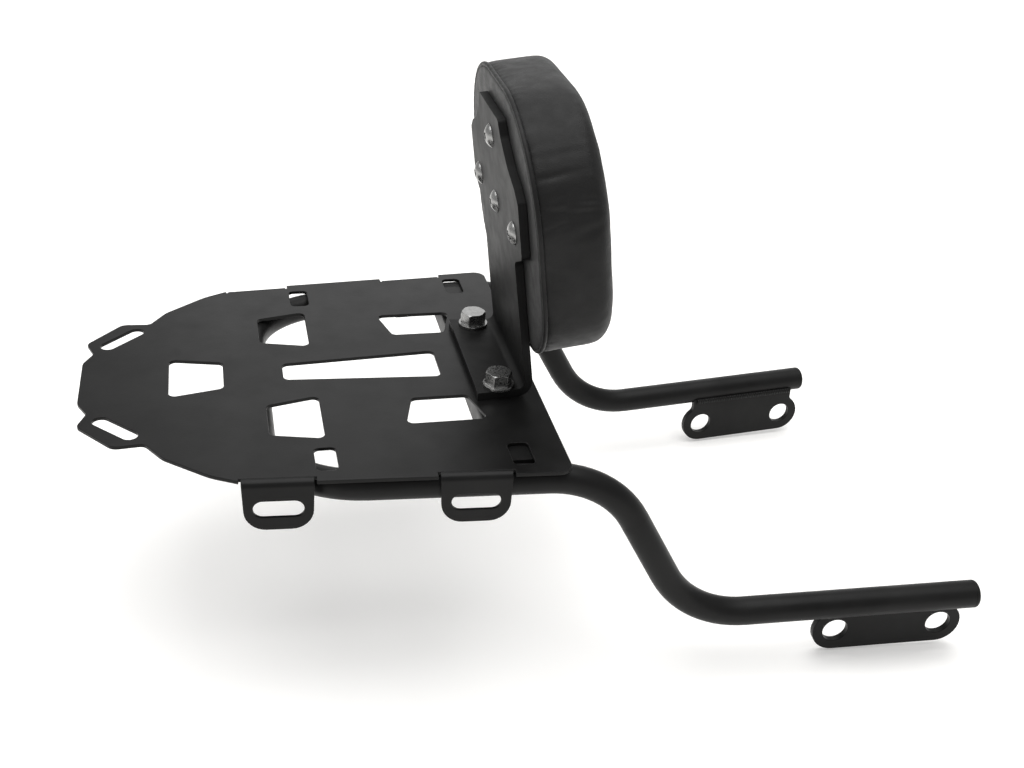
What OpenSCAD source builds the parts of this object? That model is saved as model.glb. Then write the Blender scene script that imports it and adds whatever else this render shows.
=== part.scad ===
// Motorcycle backrest with luggage rack.
//
// A folded and slotted rack plate lies on a tube that is bent as one piece: a
// rear hoop under the plate and two legs that drop and run forward to slim mount
// plates, which bolt to the bike. A folded bracket stands on the plate near its
// front edge and carries an upholstered pad.
//
// The shapes are drawn with x forward from the line of the foot bolts, y to the
// left and z up from the top of the plate. The finished part is then moved so
// that its origin is the middle of the four mount holes.

/* [Frame tube] */
// Outer diameter of the tube
tube_d = 16; // [12:0.5:20]
// Wall of the tube
tube_wall = 2; // [1.5:0.1:3]
// Distance from the middle to a side tube, measured at the foot bolts
tube_half_gap = 108.5; // [104:0.5:114]
// Angle by which each side tube opens outwards towards the front
splay = 4; // [2:0.5:6]
// Bend radius along the tube's centre line
bend_r = 54; // [45:1:60]
// Where the rear crossing of the hoop lies
hoop_rear = -130; // [-140:1:-124]
// Straight run in front of the foot bolts before the leg drops
leg_lead = 12; // [4:1:24]
// Angle by which the leg drops
drop_angle = 61; // [50:1:70]
// Length of the straight drop between its two bends
drop_run = 43.7; // [30:0.1:60]
// Upward slope of the front stretch that carries the mount plate
front_rise = 1.5; // [0:0.5:4]
// Length of the front stretch
front_run = 134.6; // [125:0.1:160]

/* [Rack plate] */
// Thickness of the plate
plate_t = 2; // [1.5:0.1:3]
// Front edge of the plate
plate_front = 22.5; // [18:0.5:30]
// Rear end of the plate's nose
nose_rear = -222.5; // [-230:0.5:-215]
// Radius of the cut-outs' corners
cut_r = 3.5; // [2:0.5:6]
// Depth of the folded side tabs below the plate's top
tab_depth = 28; // [24:1:32]
// Outer radius of the fold above a tab
fold_r = 4; // [3:0.5:6]
// Length of the strap slot in each tab
tab_slot = 25; // [16:1:27]
// Height of the strap slot in each tab
tab_slot_h = 9.5; // [6:0.5:11]
// Width of the strap slot in each rear ear
ear_slot_w = 8.5; // [6:0.5:10]
// Length of the strap slot in each rear ear
ear_slot = 30; // [22:1:32]

/* [Mount plates] */
// Thickness of a mount plate
mount_t = 4; // [3:0.5:5]
// Diameter of its holes
mount_hole_d = 15; // [10:0.5:16]
// Distance between its two holes
mount_pitch = 62.6; // [50:0.1:70]
// Distance from the tube's centre line down to the holes
mount_drop = 23.2; // [20:0.1:28]
// Distance from the front bend to the rear hole
mount_lead = 58.5; // [50:0.5:60]
// Metal left round each hole
mount_rim = 6; // [4:0.5:8]

/* [Cross brace] */
// Thickness of the folded angle
brace_t = 3; // [2:0.5:4]
// Length of its flange under the plate
brace_flange = 28; // [24:1:32]
// Depth of its web
brace_web = 16; // [10:1:20]

/* [Backrest bracket] */
// Thickness of the bracket
bracket_t = 4.5; // [4:0.5:6]
// Rearward lean of the upright
lean = 7.3; // [0:0.1:12]
// Height of the row of three pad screws above the rack plate
row_height = 97.3; // [85:0.1:115]
// Rear edge of the foot
foot_rear = -13; // [-16:0.5:-10]
// Where the upright's rear face meets the foot's top
upright_x = 13.8; // [11:0.1:15]
// Half width of the foot
foot_half = 45; // [42:0.5:50]
// Half width of the upright's head
head_half = 61; // [58:0.5:68]
// Half the distance between the two foot bolts
foot_bolt_y = 37; // [30:0.5:40]
// Inner radius of the bend
bracket_r = 4; // [3:0.5:8]

/* [Pad] */
// Half width of the pad
pad_half_w = 82; // [76:1:90]
// Half height of the pad
pad_half_h = 69; // [66:1:80]
// Thickness of the upholstered pad
pad_depth = 37; // [30:1:50]
// Radius of the pad's outline at its upper corners
pad_top_corner = 64; // [50:1:64]
// Radius of the pad's outline at its lower corners
pad_low_corner = 46; // [36:1:64]
// Rounding of the pad's front edge
pad_edge = 12; // [8:1:18]
// Height of the pad's middle above the row of three screws
pad_rise = -1; // [-4:0.1:6]
// Distance of the outer pad screws from the middle
pad_screw_y = 44; // [38:1:50]
// Height of the top pad screw above the row
pad_screw_up = 37; // [30:1:42]

/* [Hidden] */
$fn = 96;

black = [0.08, 0.08, 0.09];
zinc = [0.75, 0.76, 0.78];
lap = 0.5;
arc_step = 12;
soft_gap = 0.3;

// The tube's centre line.
tube_r = tube_d / 2;
tube_z = -plate_t - tube_r;
bend_draw = 0.04;
side_slope = tan(splay);

// Both ends of each bend follow from its centre and its angle.
arc_x = hoop_rear + bend_r;
arc_y = tube_half_gap + side_slope * arc_x - bend_r / cos(splay);
hoop_end = arc_x - bend_r * sin(splay);
leg_start = hoop_end / cos(splay);
drop_start = [leg_lead, -bend_r];
drop_end = drop_start + bend_r * [sin(drop_angle), cos(drop_angle)];
rise_start = drop_end + drop_run * [cos(drop_angle), -sin(drop_angle)];
rise_centre = rise_start + bend_r * [sin(drop_angle), cos(drop_angle)];
front_start = rise_centre + bend_r * [sin(front_rise), -cos(front_rise)];

// The middle of the four mount holes, which becomes the origin.
hole_mid = mount_lead + mount_pitch / 2;
mount_mid_u = front_start[0] + hole_mid * cos(front_rise) + mount_drop * sin(front_rise);
mount_mid_z = front_start[1] + hole_mid * sin(front_rise) - mount_drop * cos(front_rise);
plate_inset = tube_r - mount_t / 2;
origin_x = mount_mid_u * cos(splay) + plate_inset * sin(splay);
origin_z = tube_z + mount_mid_z;

// Sizes of the fasteners.
m8 = 8;
m8_hole = 9;
flange_d = 17;
hex_af = 13;
hex_h = 7;
flange_h = 1.6;
washer_d = 16;
washer_t = 1.6;
nut_h = 8;
m6 = 6;
m6_hole = 7;
button_d = 13;
button_h = 3.3;
socket_af = 4;
socket_h = 2;
tee_d = 8;

// Layers of the pad, measured forward from the bracket's rear face.
panel_t = 1;
board_t = 9;
skin_t = 1.2;
welt_r = 1.6;
panel_n = bracket_t + soft_gap;
board_n = panel_n + panel_t + soft_gap;
welt_n = panel_n + welt_r;
skin_n = welt_n + welt_r + soft_gap;
board_inset = 2 * welt_r + 0.4;
foam_n = board_n + board_t + soft_gap + 1.5;
pad_front = bracket_t + 0.8 + pad_depth;
screw_grip = board_n + board_t - 0.5;
screw_spots = [[-pad_screw_y, 0], [0, 0], [pad_screw_y, 0], [0, pad_screw_up]];

// Helpers.

function unit(v) = v / norm(v);
function flip(points) = [for (i = [len(points) - 1:-1:0]) [points[i][0], -points[i][1], points[i][2]]];

// Points along an arc, ends included.
function arc(centre, r, from, to) =
    let (n = max(2, ceil(abs(to - from) / arc_step)))
    [for (k = [0:n]) centre + r * [cos(from + (to - from) * k / n), sin(from + (to - from) * k / n)]];

// The arc that rounds corner b = [x, y, radius] between its neighbours a and c.
function corner(a, b, c) =
    let (u = unit([a[0] - b[0], a[1] - b[1]]))
    let (w = unit([c[0] - b[0], c[1] - b[1]]))
    let (half = acos(u * w) / 2)
    let (p = [b[0], b[1]])
    let (centre = p + unit(u + w) * b[2] / sin(half))
    let (first = p + u * b[2] / tan(half) - centre)
    let (side = u[0] * w[1] - u[1] * w[0] > 0 ? -1 : 1)
    let (start = atan2(first[1], first[0]))
    arc(centre, b[2], start, start + side * (180 - 2 * half));

// A closed outline through corners [x, y, radius].
module rounded(points) {
    n = len(points);
    polygon([for (i = [0:n - 1]) each (points[i][2] == 0 ? [[points[i][0], points[i][1]]]
        : corner(points[(i + n - 1) % n], points[i], points[(i + 1) % n]))]);
}

// An outline given by its left half, from rear to front, and mirrored.
module rounded_pair(points) {
    rounded(concat(flip(points), points));
}

// A slot with round ends, long along x.
module slot(length, width) {
    far = [(length - width) / 2, 0];
    polygon(concat(arc(far, width / 2, -90, 90), arc(-far, width / 2, 90, 270)));
}

// Both sides of the part, from its left side.
module both_sides() {
    children();
    mirror([0, 1, 0]) children();
}

// The upright plane of the left leg: x along the leg, y up, z to the right.
module leg_plane() {
    translate([0, tube_half_gap, tube_z]) rotate([0, 0, splay]) rotate([90, 0, 0]) children();
}

// The front stretch of the leg: x along the tube, y up, z to the right.
module front_stretch() {
    leg_plane() translate([front_start[0], front_start[1], 0]) rotate([0, 0, front_rise]) children();
}

// The upright of the bracket: x to the left, y up it, z forward from its rear face.
module upright_plane() {
    translate([upright_x - tan(lean) * (row_height - bracket_t), 0, row_height])
        rotate([0, -lean, 0]) rotate([90, 0, 90]) children();
}

// Moves the drawing so that the middle of the four mount holes is the origin.
module placed() {
    translate([-origin_x, 0, -origin_z]) children();
}

// Bent tube.

// The tube's section, hollow or as the solid room that the tube takes up.
module tube_section(hollow, drawn = 0) {
    difference() {
        circle(r = tube_r - drawn);
        if (hollow) circle(r = tube_r - tube_wall + drawn);
    }
}

// A straight run along x; what follows it starts at its far end.
module run(length, hollow = true) {
    rotate([0, 90, 0]) linear_extrude(length) tube_section(hollow);
    translate([length, 0, 0]) children();
}

// A bend to the left, or to the right where the angle is negative. Bending draws
// the wall of the tube in by a hair.
module turn(angle, hollow = true) {
    side = sign(angle);
    translate([0, side * bend_r, 0]) {
        rotate([0, 0, -side * 90]) mirror([0, side < 0 ? 1 : 0, 0])
            rotate_extrude(angle = abs(angle)) translate([bend_r, 0]) tube_section(hollow, bend_draw);
        rotate([0, 0, angle]) translate([0, -side * bend_r, 0]) children();
    }
}

// Half of the hoop and the left leg, each run and bend set on the end of the last.
module frame_tube() {
    color(black) placed() both_sides() translate([hoop_rear, 0, tube_z]) rotate([0, 0, 90])
        run(arc_y) turn(splay - 90) rotate([90, 0, 0])
            run(leg_lead - leg_start) turn(-drop_angle)
                run(drop_run) turn(drop_angle + front_rise) run(front_run);
}

// The room that a side tube takes up between the hoop and its drop.
module side_tube_room() {
    leg_plane() translate([leg_start, 0, 0]) run(leg_lead - leg_start, false) turn(-drop_angle, false);
}

// The room that the front stretch takes up.
module front_tube_room() {
    front_stretch() run(front_run, false);
}

// A rounded plug closes the front end of each leg.
module tube_end_plugs() {
    rim = 2;
    color(black) placed() both_sides() front_stretch() translate([front_run, 0, 0]) rotate([0, 90, 0]) {
        translate([0, 0, -12]) cylinder(r = tube_r - tube_wall, h = 12 + lap);
        rotate_extrude() intersection() {
            union() {
                square([tube_r - rim, 3]);
                square([tube_r, 3 - rim]);
                translate([tube_r - rim, 3 - rim]) circle(r = rim);
            }
            square([tube_r, 3]);
        }
    }
}

// Rack plate.

side_y = tube_half_gap + tube_r / cos(splay) + plate_t;
function side_at(x) = side_y + side_slope * x;

// Left half of the flat plate's outline, from its front to the rear nose.
plate_outline = [
    [plate_front, side_at(plate_front), 7],
    [-138, side_at(-138), 8],
    [-156, 99.5, 30],
    [-178.5, 80.5, 14],
    [-187.5, 66.2, 4],
    [-203, 67.5, 6],
    [-221.6, 45.2, 4.5],
    [-217.2, 33, 3],
    [nose_rear, 22, 9]
];

// Left halves of the cut-outs, each listed from its front to its rear.
nose_cut = [[-147, 14.5, cut_r], [-176, 21, cut_r]];
long_cut = [[-27.7, 15, cut_r], [-114.5, 9, cut_r]];
rear_quad = [[-97.5, 29, cut_r], [-97.5, 72.5, cut_r], [-125.5, 66, cut_r], [-125.5, 36, cut_r]];
front_quad = [[-17.5, 37.5, cut_r], [-10.5, 63.5, cut_r], [-54.5, 63.5, cut_r], [-48, 37.5, cut_r]];
ear_spot = [-202.2, 49.3];
ear_turn = 46;
side_holes = [[-99, 92], [-1, 100]];
tab_spans = [[-142, -106.5], [-45, -8.5]];
relief = 1;

module rack_cutouts() {
    rounded_pair(nose_cut);
    rounded_pair(long_cut);
    for (s = [0, 1]) mirror([0, s]) {
        rounded(rear_quad);
        rounded(front_quad);
        translate(ear_spot) rotate(ear_turn) slot(ear_slot, ear_slot_w);
        for (spot = side_holes) translate(spot) rounded([[-5.5, -10.5, 3], [5.5, -10.5, 3], [5.5, 10.5, 3], [-5.5, 10.5, 3]]);
        translate([0, foot_bolt_y]) circle(d = m8_hole);
    }
}

// Section across a tab and its fold: x outwards and y up from the fold's centre.
module tab_section() {
    foot = fold_r - tab_depth;
    polygon(concat(
        arc([0, 0], fold_r - plate_t, 90, 0), [[fold_r - plate_t, foot]],
        [[fold_r, foot]], arc([0, 0], fold_r, 0, 90)
    ));
}

// A tab seen from the side: x along the plate's edge, y up from the plate's top.
module tab_outline(span) {
    difference() {
        rounded([
            [span[0], 1, 0], [span[0] + 1, -tab_depth, 11],
            [span[1] - 1, -tab_depth, 11], [span[1], 1, 0]
        ]);
        translate([(span[0] + span[1]) / 2, -16]) slot(tab_slot, tab_slot_h);
    }
}

// One of the left side's tabs, in line with the splayed side edge.
module folded_tab(span) {
    translate([0, side_y, 0]) rotate([0, 0, splay]) intersection() {
        translate([span[0], -fold_r, -fold_r]) rotate([90, 0, 90])
            linear_extrude(span[1] - span[0]) tab_section();
        translate([0, 1, 0]) rotate([90, 0, 0]) linear_extrude(fold_r + 3) tab_outline(span);
    }
}

// The flat blank is cut back to the bend line, with a relief at each end of the fold.
module fold_clearance(span) {
    translate([0, side_y]) rotate(splay) translate([span[0] - relief, -fold_r])
        square([span[1] - span[0] + 2 * relief, fold_r + 2]);
}

module rack_plate() {
    color(black) placed() translate([0, 0, -plate_t]) linear_extrude(plate_t) difference() {
        rounded_pair(plate_outline);
        rack_cutouts();
        for (s = [0, 1]) mirror([0, s]) for (span = tab_spans) fold_clearance(span);
    }
}

// The tabs are folded from the plate's own sheet and meet it at the bend line.
module left_tabs() {
    color(black) placed() for (span = tab_spans) folded_tab(span);
}

module right_tabs() {
    color(black) placed() mirror([0, 1, 0]) for (span = tab_spans) folded_tab(span);
}

// Mount plates.

mount_end_r = mount_hole_d / 2 + mount_rim;
neck_over = 7;
neck_top = mount_drop - 3;
shoulder = 39;

// The rear half of the plate's outline, from the rear hole's centre.
shoulder_low = mount_end_r * tan((90 - shoulder) / 2);
shoulder_high = shoulder_low + (mount_end_r - neck_over) * tan(shoulder);
mount_half = [
    [-neck_over, neck_top, 0], [-neck_over, shoulder_high, 3.8],
    [-mount_end_r, shoulder_low, mount_end_r - 0.2], [-mount_end_r, -mount_end_r, mount_end_r - 0.2]
];

module mount_outline() {
    far_half = [for (i = [len(mount_half) - 1:-1:0])
        [mount_pitch - mount_half[i][0], mount_half[i][1], mount_half[i][2]]];
    translate([mount_lead, -mount_drop]) difference() {
        rounded(concat(mount_half, far_half));
        for (x = [0, mount_pitch]) translate([x, 0]) circle(d = mount_hole_d);
    }
}

// A left mount plate, coped along its top to sit against the tube.
module mount_plate() {
    difference() {
        front_stretch() translate([0, 0, tube_r - mount_t]) linear_extrude(mount_t) mount_outline();
        front_tube_room();
    }
}

module left_mount_plate() {
    color(black) placed() mount_plate();
}

module right_mount_plate() {
    color(black) placed() mirror([0, 1, 0]) mount_plate();
}

// Cross brace.

brace_end = tube_half_gap - 5.5;

// Section of the folded angle, x forward and y up.
module brace_section() {
    rounded([
        [foot_rear, -plate_t - brace_web, 0], [foot_rear + brace_t, -plate_t - brace_web, 0],
        [foot_rear + brace_t, -plate_t - brace_t, 1.5], [foot_rear + brace_flange, -plate_t - brace_t, 0],
        [foot_rear + brace_flange, -plate_t, 0], [foot_rear, -plate_t, 1.5 + brace_t]
    ]);
}

module cross_brace() {
    color(black) placed() difference() {
        rotate([90, 0, 0]) linear_extrude(2 * brace_end, center = true) brace_section();
        both_sides() side_tube_room();
        for (s = [-1, 1]) translate([0, s * foot_bolt_y, -plate_t - brace_t - 1]) cylinder(d = m8_hole, h = brace_t + 2);
    }
}

// Weld beads.

bead_r = 2.6;
plate_bead_spans = [[-78, -58], [-48, -28]];

// Beads in the corner between the side tubes and the underside of the plate.
module plate_welds() {
    color(black) placed() both_sides() difference() {
        leg_plane() for (span = plate_bead_spans)
            translate([span[0], tube_r - 1.2, 5]) rotate([0, 90, 0]) cylinder(r = bead_r, h = span[1] - span[0]);
        side_tube_room();
        translate([-100, 80, -plate_t]) cube([100, 60, 20]);
    }
}

// Beads along both faces of each mount plate, where it meets its tube.
module mount_welds() {
    start = mount_lead - neck_over + 2;
    run = mount_pitch + 2 * neck_over - 4;
    color(black) placed() both_sides() difference() {
        front_stretch() {
            translate([start, -tube_r, tube_r - mount_t - 0.6]) rotate([0, 90, 0]) cylinder(r = bead_r, h = run);
            translate([start, -4.4, tube_r - 0.2]) rotate([0, 90, 0]) cylinder(r = 2, h = run);
        }
        front_tube_room();
        front_stretch() translate([0, -mount_drop, tube_r - mount_t]) cube([front_run, mount_drop - 3, mount_t]);
    }
}

// Beads down the brace's web at each side tube.
module brace_welds() {
    bead_x = foot_rear + brace_t;
    color(black) placed() both_sides() difference() {
        translate([bead_x + 0.8, tube_half_gap + side_slope * bead_x - tube_r - 0.4, tube_z - 4.5])
            cylinder(r = bead_r, h = 9);
        side_tube_room();
        translate([foot_rear, brace_end - 20, tube_z - 10]) cube([brace_t, 20, 20]);
    }
}

// Backrest bracket.

bend_x = upright_x - bracket_r * (1 + sin(lean)) / cos(lean);
upright_foot = -(row_height - bracket_t - bracket_r - bracket_r * sin(lean)) / cos(lean);
neck_low = foot_half - 2;

// Left half of the upright, from its foot to its top: x to the left, y up.
bracket_outline = [
    [neck_low + 0.4, upright_foot, 0], [neck_low - 2, -18, 5], [head_half, -8, 4], [head_half, 22, 3],
    [54, 28, 7], [40, 34.5, 9], [28, 45.5, 7], [24, 53.5, 3]
];

// Section of the folded sheet: x forward and y up.
module bracket_section() {
    centre = [bend_x, bracket_t + bracket_r];
    along = [-sin(lean), cos(lean)];
    ahead = [cos(lean), sin(lean)];
    top = centre + (bracket_outline[len(bracket_outline) - 1][1] - upright_foot + 2) * along;
    polygon(concat(
        [[foot_rear, 0]], arc(centre, bracket_r + bracket_t, -90, lean), [top + (bracket_r + bracket_t) * ahead],
        [top + bracket_r * ahead], arc(centre, bracket_r, lean, -90), [[foot_rear, bracket_t]]
    ));
}

// Everything beside and above the upright's outline, from just over the bend.
module upright_surround() {
    far_half = [for (i = [len(bracket_outline) - 1:-1:0])
        [-bracket_outline[i][0], bracket_outline[i][1], bracket_outline[i][2]]];
    difference() {
        translate([-head_half - 10, upright_foot + 3]) square([2 * head_half + 20, row_height + 80]);
        rounded(concat(bracket_outline, far_half));
    }
}

// Everything beside the foot and the bend.
module foot_surround() {
    difference() {
        translate([foot_rear - 5, -head_half - 10]) square([60, 2 * head_half + 20]);
        polygon([
            [foot_rear - 9, -foot_half], [foot_rear, -foot_half], [bend_x, -neck_low], [60, -neck_low],
            [60, neck_low], [bend_x, neck_low], [foot_rear, foot_half], [foot_rear - 9, foot_half]
        ]);
    }
}

module backrest_bracket() {
    color(black) placed() difference() {
        rotate([90, 0, 0]) linear_extrude(2 * head_half + 4, center = true) bracket_section();
        upright_plane() translate([0, 0, -bracket_t]) linear_extrude(3 * bracket_t) upright_surround();
        translate([0, 0, -1]) linear_extrude(bracket_t + 6 * bracket_r) foot_surround();
        for (s = [-1, 1]) translate([0, s * foot_bolt_y, -1]) cylinder(d = m8_hole, h = bracket_t + 2);
        upright_plane() for (spot = screw_spots) translate([spot[0], spot[1], -1]) cylinder(d = m6_hole, h = bracket_t + 2);
    }
}

// Foot fasteners.

module hex_prism(af, h) {
    cylinder(d = af / cos(30), h = h, $fn = 6);
}

module foot_bolts() {
    length = 25;
    color(zinc) placed() for (s = [-1, 1]) translate([0, s * foot_bolt_y, bracket_t]) {
        translate([0, 0, -length]) cylinder(d = m8, h = length + flange_h);
        cylinder(d = flange_d, h = flange_h);
        translate([0, 0, flange_h]) intersection() {
            hex_prism(hex_af, hex_h);
            translate([0, 0, -1]) cylinder(d1 = hex_af + 18, d2 = hex_af + 0.4, h = hex_h + 1);
        }
    }
}

module foot_washers() {
    color(zinc) placed() for (s = [-1, 1])
        translate([0, s * foot_bolt_y, -plate_t - brace_t - washer_t]) difference() {
            cylinder(d = washer_d, h = washer_t);
            translate([0, 0, -1]) cylinder(d = 8.4, h = washer_t + 2);
        }
}

module foot_nuts() {
    color(zinc) placed() for (s = [-1, 1])
        translate([0, s * foot_bolt_y, -plate_t - brace_t - washer_t - nut_h]) difference() {
            union() {
                translate([0, 0, 2]) hex_prism(hex_af, nut_h - 2);
                cylinder(d = 11.5, h = nut_h);
            }
            translate([0, 0, -1]) cylinder(d = m8, h = nut_h + 2);
        }
}

// Pad.

// Button-head screws through the bracket into the pad's board.
module pad_screws() {
    dome_r = (button_h * button_h + button_d * button_d / 4) / (2 * button_h);
    color(zinc) placed() upright_plane() for (spot = screw_spots) translate(spot) {
        cylinder(d = m6, h = screw_grip);
        difference() {
            rotate([180, 0, 0]) rotate_extrude() intersection() {
                translate([0, button_h - dome_r]) circle(r = dome_r);
                square([button_d / 2, button_h]);
            }
            translate([0, 0, -button_h - 1]) hex_prism(socket_af, socket_h + 1);
        }
    }
}

module tee_nuts() {
    color(zinc) placed() upright_plane() for (spot = screw_spots) translate(spot) difference() {
        union() {
            translate([0, 0, board_n + 1]) cylinder(d = tee_d, h = board_t - 1);
            translate([0, 0, board_n + board_t]) cylinder(d = 20, h = 1.5);
        }
        translate([0, 0, board_n]) cylinder(d = m6, h = board_t + 3);
    }
}

// The upper and lower corner of the pad's outline: [centre's x, centre's y, radius].
pad_corners = [
    [pad_half_w - pad_top_corner, pad_half_h - pad_top_corner, pad_top_corner],
    [pad_half_w - pad_low_corner, pad_low_corner - pad_half_h, pad_low_corner]
];

// The pad's outline with its corners cut off straight, drawn in by inset.
module pad_core(inset) {
    w = pad_half_w - inset;
    h = pad_half_h - inset;
    top = pad_corners[0];
    low = pad_corners[1];
    polygon([
        [top[0], h], [-top[0], h], [-w, top[1]], [-w, low[1]],
        [-low[0], -h], [low[0], -h], [w, low[1]], [w, top[1]]
    ]);
}

// The pad's outline, drawn in from its full size.
module pad_outline(inset) {
    pad_core(inset);
    for (s = [-1, 1]) for (c = pad_corners) translate([s * c[0], c[1]]) circle(r = c[2] - inset);
}

// The pad's edge in section beside a corner's centre: x outwards, y forward.
module edge_section(r, edge, front) {
    square([r - edge, front]);
    square([r, front - edge]);
    translate([r - edge, front - edge]) circle(r = edge);
}

// A solid with the pad's outline and a rounded front edge.
module pad_block(inset, front) {
    edge = pad_edge - inset;
    top = pad_corners[0];
    low = pad_corners[1];
    linear_extrude(front) polygon([[top[0], top[1]], [-top[0], top[1]], [-low[0], low[1]], [low[0], low[1]]]);
    for (s = [-1, 1]) for (c = pad_corners)
        translate([s * c[0], c[1], 0]) rotate_extrude() edge_section(c[2] - inset, edge, front);
    for (s = [0, 1]) mirror([s, 0, 0]) translate([top[0], top[1], 0]) rotate([90, 0, 0])
        linear_extrude(top[1] - low[1]) edge_section(top[2] - inset, edge, front);
    translate([-top[0], top[1], 0]) rotate([90, 0, 90])
        linear_extrude(2 * top[0]) edge_section(top[2] - inset, edge, front);
    mirror([0, 1, 0]) translate([-low[0], -low[1], 0]) rotate([90, 0, 90])
        linear_extrude(2 * low[0]) edge_section(low[2] - inset, edge, front);
}

// The pad's place on the upright, from a given layer forward.
module pad_layer(n) {
    upright_plane() translate([0, pad_rise, n]) children();
}

module pad_board() {
    color("burlywood") placed() difference() {
        pad_layer(board_n) linear_extrude(board_t) pad_outline(board_inset);
        upright_plane() for (spot = screw_spots) translate([spot[0], spot[1], board_n - 1]) cylinder(d = tee_d, h = board_t + 2);
    }
}

module pad_foam() {
    color("khaki") placed() pad_layer(foam_n) pad_block(skin_t + soft_gap, pad_front - skin_t - soft_gap - foam_n);
}

// The upholstery over the pad's front and sides, open behind.
module pad_cover() {
    color(black) placed() difference() {
        pad_layer(skin_n) pad_block(0, pad_front - skin_n);
        pad_layer(skin_n - 1) pad_block(skin_t, pad_front - skin_t - skin_n + 1);
    }
}

// Piping round the pad's back edge.
module pad_welt() {
    top = pad_corners[0];
    low = pad_corners[1];
    side = pad_half_w - welt_r;
    color(black) placed() pad_layer(welt_n) for (s = [0, 1]) mirror([s, 0, 0]) {
        for (k = [0, 1]) mirror([0, k, 0]) {
            c = pad_corners[k];
            along = k == 0 ? c[1] : -c[1];
            translate([c[0], along, 0]) rotate_extrude(angle = 90) translate([c[2] - welt_r, 0]) circle(r = welt_r);
            translate([0, along + c[2] - welt_r, 0]) rotate([0, 90, 0]) cylinder(r = welt_r, h = c[0]);
        }
        translate([side, low[1], 0]) rotate([-90, 0, 0]) cylinder(r = welt_r, h = top[1] - low[1]);
    }
}

module pad_back_cover() {
    color(black) placed() pad_layer(panel_n) linear_extrude(panel_t) difference() {
        pad_outline(2 * welt_r + soft_gap);
        translate([0, -pad_rise]) for (spot = screw_spots) translate(spot) circle(d = m6_hole);
    }
}

rack_plate();
left_tabs();
right_tabs();
frame_tube();
tube_end_plugs();
left_mount_plate();
right_mount_plate();
cross_brace();
plate_welds();
mount_welds();
brace_welds();
backrest_bracket();
foot_bolts();
foot_washers();
foot_nuts();
pad_screws();
tee_nuts();
pad_board();
pad_foam();
pad_cover();
pad_welt();
pad_back_cover();
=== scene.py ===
"""Looks of the motorcycle backrest with luggage rack.

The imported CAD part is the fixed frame. The metal keeps its CAD shapes, with their
edges eased and a procedural finish on every piece. The upholstered pad is built
here: a cushion that a short cloth run swells, a back panel, and the piping round
its back edge.
"""

import logging
import math
from dataclasses import dataclass
from enum import Enum

import bmesh
import bpy
import numpy as np
from mathutils import Matrix, Vector


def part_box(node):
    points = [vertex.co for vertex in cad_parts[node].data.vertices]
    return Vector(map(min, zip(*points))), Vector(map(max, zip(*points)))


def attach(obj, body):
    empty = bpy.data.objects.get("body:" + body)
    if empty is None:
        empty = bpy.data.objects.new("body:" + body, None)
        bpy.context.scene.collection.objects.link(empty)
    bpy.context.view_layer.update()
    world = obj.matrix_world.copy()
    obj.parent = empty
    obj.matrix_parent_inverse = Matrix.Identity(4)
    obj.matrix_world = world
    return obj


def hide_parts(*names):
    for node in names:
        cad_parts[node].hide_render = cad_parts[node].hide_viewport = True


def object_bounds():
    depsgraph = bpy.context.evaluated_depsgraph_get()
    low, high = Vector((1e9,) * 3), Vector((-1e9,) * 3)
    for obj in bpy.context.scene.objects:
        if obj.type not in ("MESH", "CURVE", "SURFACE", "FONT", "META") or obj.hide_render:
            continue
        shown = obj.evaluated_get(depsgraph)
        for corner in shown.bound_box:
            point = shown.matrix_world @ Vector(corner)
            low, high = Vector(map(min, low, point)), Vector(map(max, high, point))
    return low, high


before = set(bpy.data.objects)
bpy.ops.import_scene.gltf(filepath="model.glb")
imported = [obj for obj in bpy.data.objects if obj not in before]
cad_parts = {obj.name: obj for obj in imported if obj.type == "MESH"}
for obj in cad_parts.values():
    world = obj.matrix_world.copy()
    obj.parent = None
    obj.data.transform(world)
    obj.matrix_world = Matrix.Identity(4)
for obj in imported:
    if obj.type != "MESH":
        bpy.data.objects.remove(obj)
CAD_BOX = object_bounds()

LOG = logging.getLogger("backrest")
BODY = "root"
MM = 0.001

# Bands of noise values that hold most of a pattern.
MIDDLE_BAND = (0.35, 0.65)
WIDE_BAND = (0.3, 0.7)

Array = np.ndarray
Triple = tuple[float, float, float]
Span = tuple[float, float]
Socket = bpy.types.NodeSocket


# Finishes.


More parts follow.
